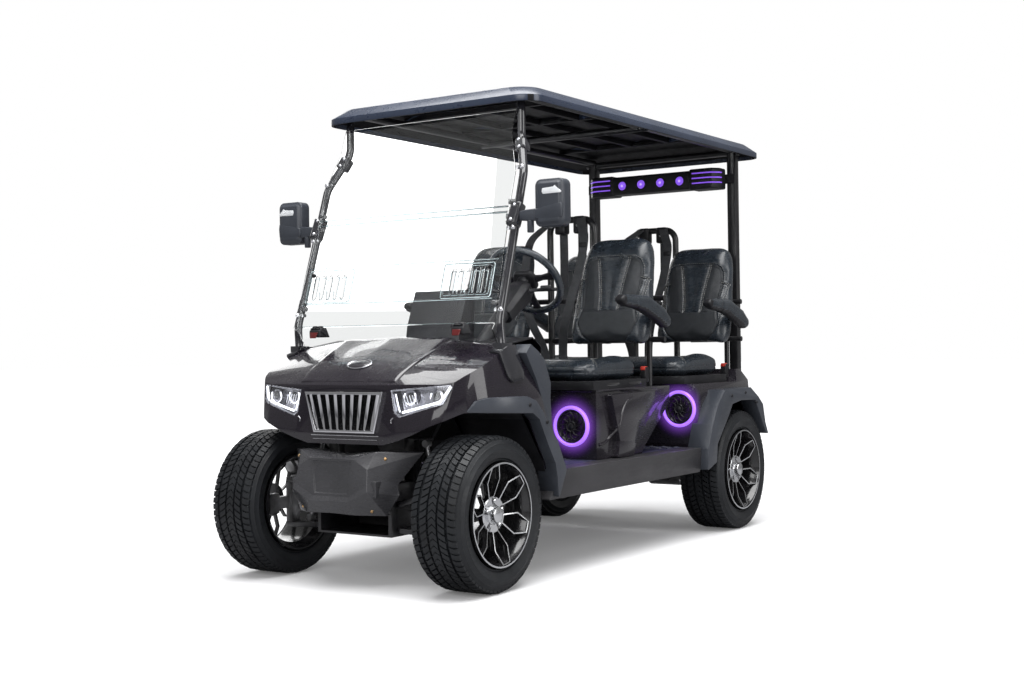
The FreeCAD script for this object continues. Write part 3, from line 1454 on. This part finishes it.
def seat_pan(shift):
    y0 = front_axle_y + cushion_front_reach + shift + overrun
    y1 = front_axle_y + cushion_front_reach + cushion_depth + shift
    low = pod_top_z + seat_gap
    pan = box(-pan_half_width, pan_half_width, y0, y1, low, low + pan_thick)
    slot = box(-pedal_width, pedal_width, y0 - overrun, y0 + pan_thick * 0.7, low - overrun, low + pan_thick * 0.55)
    y, z = hinge_line(shift)
    ears = []
    bores = []
    for side in (-1, 1):
        x = side * hinge_x
        ears.append(cylinder("x", (y, z), hinge_radius, x - hinge_width / 2, x + hinge_width / 2))
        ears.append(box(x - hinge_width / 2, x + hinge_width / 2, y1 - overrun, y, z - hinge_radius * 2,
                        z - seat_gap))
        bores.append(cylinder("x", (y, z), hinge_pin_radius + seat_gap / 3, x - hinge_width, x + hinge_width))
    ear_clear = box(-pan_half_width, pan_half_width, y1 - overrun * 2, y1 + seat_gap, z, z + pan_thick)
    return fused([pan.cut(slot)] + ears).cut(Part.makeCompound(bores)).cut(ear_clear)


def seat_cushion(shift):
    y0 = front_axle_y + cushion_front_reach + shift
    y1 = y0 + cushion_depth
    low = pod_top_z + pan_thick + seat_gap * 2
    top = low + cushion_thick
    half = cushion_half_width
    plan = prism([(half, y0), (half, y1), (-half, y1), (-half, y0)], "z", low, top, cushion_corner)
    front = symmetric([(0, top - cushion_thick * 0.12), (half * 0.55, top - cushion_thick * 0.14), (half * 0.82,
                      top), (half * 0.95, top - cushion_thick * 0.1), (half, low + cushion_thick * 0.3),
                      (half * 0.98, low), (0, low)])
    side = [(y0 + cushion_thick * 0.2, low), (y0, low + cushion_thick * 0.4), (y0 + cushion_thick * 0.25, top
            - cushion_thick * 0.05), (y0 + cushion_depth * 0.25, top), (y1 - cushion_thick * 0.8, top), (y1, low
            + cushion_thick * 0.5), (y1, low)]
    return plan.common(prism(front, "y", y0 - overrun, y1 + overrun)).common(
        prism(side, "x", -half - overrun, half + overrun, cushion_thick * 0.2))


def back_slope():
    return (back_top_reach - back_low_reach) / (back_top_z - back_low_z)


def seat_backs(shift):
    y0 = front_axle_y + back_low_reach + shift
    lean = back_top_reach - back_low_reach
    half = back_half_width
    face = [(back_centre_x - half * 0.86, back_low_z), (back_centre_x + half * 0.86, back_low_z),
            (back_centre_x + half, back_low_z + back_corner), (back_centre_x + half, back_top_z - back_corner * 1.6),
            (back_centre_x + half * 0.62, back_top_z), (back_centre_x - half * 0.62, back_top_z),
            (back_centre_x - half, back_top_z - back_corner * 1.6), (back_centre_x - half, back_low_z + back_corner)]
    block = prism(face, "y", y0 - overrun, y0 + lean + back_thick + overrun, back_corner)
    side = [(y0 + back_thick * 0.15, back_low_z), (y0, back_low_z + back_corner / 2), (y0 + lean, back_top_z
            - back_corner / 3), (y0 + lean + back_thick * 0.3, back_top_z), (y0 + lean + back_thick * 0.8,
            back_top_z - back_corner / 2), (y0 + back_thick, back_low_z + back_corner / 3),
            (y0 + back_thick * 0.9, back_low_z)]
    return pair(block.common(prism(side, "x", back_centre_x - half - overrun, back_centre_x + half + overrun,
                                   back_corner / 4)))


def seat_frame(shift):
    y = front_axle_y + hoop_reach + shift
    base_z = pod_top_z - pan_thick * 2
    hoop = bent_tube([point(hoop_half_width, y, base_z), point(hoop_half_width, y, hoop_top_z - hoop_radius),
                      point(-hoop_half_width, y, hoop_top_z - hoop_radius), point(-hoop_half_width, y, base_z)],
                     hoop_radius, hoop_bend)
    reach = back_centre_x + back_half_width * 0.77
    bars = [cylinder("x", (y, z), hoop_radius * 0.8, -reach, reach) for z in (back_bar_z, back_low_z + hoop_radius)]
    posts = [cylinder("z", (side * (back_centre_x + back_half_width * 0.4), y), hoop_radius * 0.8, base_z,
                      back_bar_z) for side in (-1, 1)]
    pads = []
    for side in (-1, 1):
        for z in (back_bar_z, back_low_z + hoop_radius):
            lean = (z - back_low_z) * back_slope()
            front = front_axle_y + back_low_reach + shift + lean + back_thick * 0.8
            x = side * back_centre_x
            pads.append(box(x - hoop_radius * 2, x + hoop_radius * 2, front, y, z - hoop_radius, z + hoop_radius))
    solid = fused([hoop] + bars + posts + pads)
    deck = tail_form(-seat_gap) if shift > 0 else box(-pod_half_width, pod_half_width, y - pod_depth, y + pod_depth,
                                                      0, pod_top_z + seat_gap)
    return solid.cut(Part.makeCompound(seat_backs(shift))).cut(deck)


armrest_shares = ((0, 0.25), (0.05, 0.02), (0.54, 0.05), (0.85, 0.52), (1.0, 1.0), (0.985, 1.3), (0.91, 1.44),
                  (0.45, 0.80), (0.08, 0.49))


def armrest_pair(shift):
    y0 = front_axle_y + armrest_front_reach + shift
    side = [(y0 + along * armrest_length, armrest_front_z - drop * armrest_fall) for along, drop in armrest_shares]
    inner = back_centre_x + back_half_width + seat_gap
    return pair(prism(side, "x", inner, inner + armrest_width, armrest_fall * 0.2))


def belts(shift):
    y = front_axle_y + hoop_reach + shift - hoop_radius - seat_gap
    strap = box(belt_x - belt_width / 2, belt_x + belt_width / 2, y - belt_thick, y, pod_top_z + belt_width,
                hoop_top_z - hoop_radius)
    reel = box(belt_x - belt_width / 2, belt_x + belt_width / 2, y - belt_width, y, hoop_top_z - hoop_radius * 4,
               hoop_top_z - hoop_radius)
    return pair(fused([strap, reel]))


def buckles(shift):
    y = front_axle_y + cushion_front_reach + cushion_depth + shift + buckle_depth * 2
    found = []
    for x in (cushion_half_width - buckle_width, belt_x * 1.6):
        tongue = box(x - buckle_width / 2, x + buckle_width / 2, y, y + buckle_depth, pod_top_z + seat_gap,
                     pod_top_z + buckle_height)
        found += pair(tongue.cut(tail_form(-seat_gap)))
    return found


# Seat pods and rear body

def front_pod():
    y0 = front_axle_y + pod_front_reach
    y1 = front_axle_y + hoop_reach + hoop_radius * 2
    mid = y0 + pod_depth
    low = sill_top_z
    top = pod_top_z
    side = [(y0, low), (y0, top), (y1, top), (y1, top - pan_thick * 2), (mid, low + pan_thick), (mid - pan_thick, low)]
    outer = prism(side, "x", -pod_half_width, pod_half_width)
    inner = prism([(y0 + pod_wall, low + pod_wall), (y0 + pod_wall, top + overrun), (mid, top + overrun),
                   (mid, low + pan_thick * 2), (mid - pan_thick * 2, low + pod_wall)], "x",
                  -pod_half_width + pod_wall, pod_half_width - pod_wall)
    shell = outer.cut(inner)
    notch = box(-pod_half_width + pod_wall, pod_half_width - pod_wall, mid + pod_wall, y1 - pod_wall,
                low - overrun, top - pod_wall)
    shell = shell.cut(notch)
    fin_shares = ((0.16, 0.926), (1.068, 0.95), (1.068, 0.893), (0.966, 0.728), (0.734, 0.527), (0.639, 0.215),
                  (0.598, 0.01), (0.273, 0.01), (0.316, 0.245), (0.239, 0.59))
    fin = [(y0 + along * pod_depth, low + up * (top - low)) for along, up in fin_shares]
    fins = pair(prism(fin, "x", pod_half_width, pod_half_width + pan_thick, pod_wall))
    return fused([shell] + fins + hinge_brackets(0))


def tail_side(inset):
    y0 = front_axle_y + pod_front_reach + seat_pitch
    pod_end = front_axle_y + cushion_front_reach + cushion_depth + seat_pitch + pan_thick * 1.2
    rear = rear_axle_y + tail_reach
    low = rail_low_z + rail_height + seat_gap
    rise = tail_top_z - low
    bottom = low - max(inset, 0) * overrun
    return [(y0 + inset, bottom), (y0 + inset, pod_top_z - inset), (pod_end + inset, pod_top_z - inset),
            (pod_end + pan_thick + inset, tail_top_z - inset), (rear - rise * 0.38 - inset, tail_top_z - inset),
            (rear - inset, low + rise * 0.60), (rear - inset, low + rise * 0.40), (rear - rise * 0.10 - inset, bottom)]


def tail_form(inset):
    y0 = front_axle_y + pod_front_reach + seat_pitch
    rear = rear_axle_y + tail_reach
    half = tail_half_width - inset
    form = prism(tail_side(inset), "x", -half, half)
    corner = tail_half_width * 0.22
    plan = symmetric([(0, y0 - overrun * 2), (half, y0 - overrun * 2), (half, rear - corner), (half - corner * 0.6,
                     rear - inset), (0, rear - inset)])
    form = form.common(prism(plan, "z", 0, tail_top_z + overrun))
    low = 0
    front = symmetric([(0, tail_top_z - inset), (half * 0.93, tail_top_z - inset), (half, tail_top_z * 0.86 - inset),
                       (half, low), (0, low)])
    return form.common(prism(front, "y", y0 - overrun * 2, rear + overrun))


def rear_body():
    shell = tail_form(0).cut(tail_form(tail_wall))
    arch = ring_line(rear_arch_shares, arch_radius, rear_axle_y, tyre_radius)
    arch = arch + [(arch[-1][0], 0), (arch[0][0], 0)]
    gap = rear_liner_inner_x - seat_gap
    for side in (-1, 1):
        x0 = min(side * gap, side * (tail_half_width + overrun))
        x1 = max(side * gap, side * (tail_half_width + overrun))
        shell = shell.cut(prism(arch, "x", x0, x1))
    y0 = front_axle_y + pod_front_reach + seat_pitch + tail_wall
    y1 = front_axle_y + cushion_front_reach + cushion_depth + seat_pitch - tub_margin / 2
    half = pod_half_width - tub_margin
    opening = box(-half, half, y0 + tub_margin / 2, y1, pod_top_z - tail_wall * 2, pod_top_z + overrun)
    shell = shell.cut(opening)
    tub_outer = box(-half - tail_wall, half + tail_wall, y0 + tub_margin / 2 - tail_wall, y1 + tail_wall,
                    tub_floor_z - tail_wall, pod_top_z)
    tub_inner = box(-half, half, y0 + tub_margin / 2, y1, tub_floor_z, pod_top_z + overrun)
    shell = fused([shell, tub_outer.cut(tub_inner)] + hinge_brackets(seat_pitch))
    posts = [box(side * rear_post_x - rear_post_size / 2 - seat_gap, side * rear_post_x + rear_post_size / 2
                 + seat_gap, rear_axle_y + rear_post_reach - rear_post_size / 2 - seat_gap, rear_axle_y
                 + rear_post_reach + rear_post_size / 2 + seat_gap, 0, tail_top_z + overrun) for side in (-1, 1)]
    shell = shell.cut(Part.makeCompound(posts))
    return max(shell.Solids, key=lambda solid: solid.Volume)


def tail_lamps():
    rear = rear_axle_y + tail_reach
    low = tail_top_z - (tail_top_z - rail_low_z) * 0.52
    x = rear_post_x - rear_post_size / 2 - tail_lamp_thick - tail_lamp_width
    return pair(box(x, x + tail_lamp_width, rear + seat_gap, rear + tail_lamp_thick, low, low + tail_lamp_height))


def rear_bumper():
    y0 = rear_axle_y + rail_rear_reach + seat_gap
    y1 = y0 + rear_bar_depth
    low = rail_low_z
    bar = box(-rear_bar_half, rear_bar_half, y0, y1, low, low + rear_bar_height)
    tab = box(-hitch_width / 2, hitch_width / 2, y1, y1 + hitch_reach, low, low + hitch_thick)
    bore = cylinder("z", (0, y1 + hitch_reach / 2), hitch_bore_radius, low - overrun, low + hitch_thick + overrun)
    middle_z = low + rear_bar_height / 2
    holes = [cylinder("y", (across * rack_hole_x, middle_z + up * rack_hole_rise / 2), rack_hole_radius,
                      y0 - overrun, y1 + overrun) for across in (-1, 1) for up in (-1, 1)]
    return fused([bar, tab]).cut(Part.makeCompound([bore] + holes))


# Speakers

def speaker(x, y, z):
    cone = cylinder("y", (x, z), speaker_cone_radius, y - speaker_depth, y - seat_gap)
    return cone


def speaker_ring(x, y, z):
    ring = cylinder("y", (x, z), speaker_ring_radius, y - speaker_depth, y - seat_gap)
    hole = cylinder("y", (x, z), speaker_ring_radius - speaker_ring_width, y - speaker_depth - overrun, y + overrun)
    return ring.cut(hole)


def main():
    os.makedirs("parts", exist_ok=True)
    wheels()
    left = knuckle()
    save("knuckle_left", left)
    save("knuckle_right", mirrored(left))
    save("tie_rods", tie_rods())
    save("front_suspension", front_suspension())
    save("dampers", *dampers())
    save("ladder_frame", ladder_frame())
    save("rear_axle", rear_axle())
    save("drive_motor", drive_motor())
    save("rear_springs", *pair(leaf_spring()))
    save("battery_pack", battery_pack())
    save("floor_pan", floor_pan())
    save("sills", *pair(sill()))
    save("front_cowl", front_cowl())
    save("leg_shields", *pair(leg_shield()))
    save("grille", grille())
    save("headlamps", *pair(headlamp()))
    save("lamp_lenses", *pair(lamp_lens()))
    save("front_bumper", front_bumper())
    save("front_flares", *pair(front_flare()))
    save("rear_flares", *pair(rear_flare()))
    save("wheel_liners", *wheel_liners())
    save("dashboard", dashboard())
    save("steering_column", steering_column())
    save("steering_wheel", steering_wheel())
    save("pedals", *pedals())
    save("windscreen_posts", *pair(windscreen_post()))
    save("windscreen_upper", windscreen_upper())
    save("windscreen_lower", windscreen_lower())
    save("windscreen_clips", *windscreen_clips())
    save("mirrors", *pair(mirror()))
    save("roof", roof())
    save("roof_frame", roof_frame())
    save("sound_bar", sound_bar())
    for shift, row in seat_rows():
        save(row + "_seat_pan", seat_pan(shift))
        save(row + "_seat_cushion", seat_cushion(shift))
        save(row + "_seat_backs", *seat_backs(shift))
        save(row + "_seat_frame", seat_frame(shift))
    save("armrests", *[piece for shift, row in seat_rows() for piece in armrest_pair(shift)])
    save("seat_belts", *[piece for shift, row in seat_rows() for piece in belts(shift)])
    save("belt_buckles", *[piece for shift, row in seat_rows() for piece in buckles(shift)])
    save("front_pod", front_pod())
    save("rear_body", rear_body())
    save("tail_lamps", *tail_lamps())
    save("rear_bumper", rear_bumper())
    faces = ((front_speaker_x, front_axle_y + pod_front_reach, front_speaker_z),
             (rear_speaker_x, front_axle_y + pod_front_reach + seat_pitch, rear_speaker_z))
    save("speakers", *[piece for spot in faces for piece in pair(speaker(*spot))])
    save("speaker_rings", *[piece for spot in faces for piece in pair(speaker_ring(*spot))])


main()
